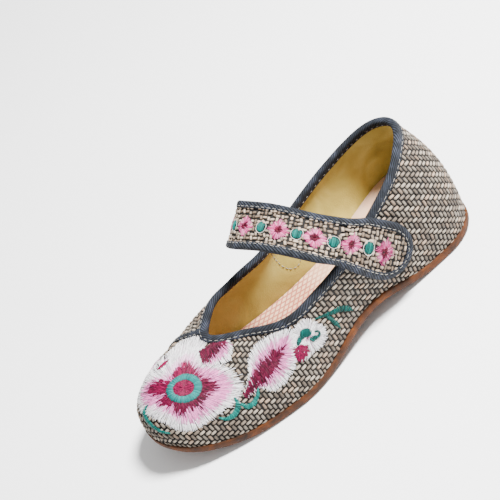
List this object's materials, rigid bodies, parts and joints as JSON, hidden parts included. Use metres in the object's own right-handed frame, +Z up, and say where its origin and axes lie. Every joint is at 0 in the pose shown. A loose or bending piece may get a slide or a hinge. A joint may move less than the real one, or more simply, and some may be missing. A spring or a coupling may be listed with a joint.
{
  "type": "embroidered cloth strap shoe",
  "caption": "A low cloth shoe for the left foot with a rounded toe, a strap fastened over the instep, bound edges, a hidden wedge and a thin rubber sole.",
  "frame": {"origin": "centre of the bounding box at the floor", "axes": "+Z up, toe towards -Y, heel towards +Y, outer side of the left foot towards +X"},
  "size_m": [0.091, 0.2456, 0.0986],
  "materials": {
    "outsole": "matte brown moulded rubber",
    "insole": "peach cloth with a printed lattice at the front",
    "upper": "herringbone woven beige straw over black, ochre cotton lining",
    "collar_binding": "slate blue twill tape with running stitches",
    "toe_seam_binding": "slate blue twill tape",
    "strap": "woven beige straw on the bias with small embroidered flowers",
    "strap_binding": "slate blue twill tape with running stitches",
    "hook_patch": "black hook-and-loop patch"
  },
  "bodies": {
    "root": {"outsole": "outsole", "insole": "insole", "upper": "upper", "collar_binding": "collar_binding", "toe_seam_binding": "toe_seam_binding", "strap": "strap", "strap_binding": "strap_binding", "hook_patch": "hook_patch"}
  },
  "joints": []
}
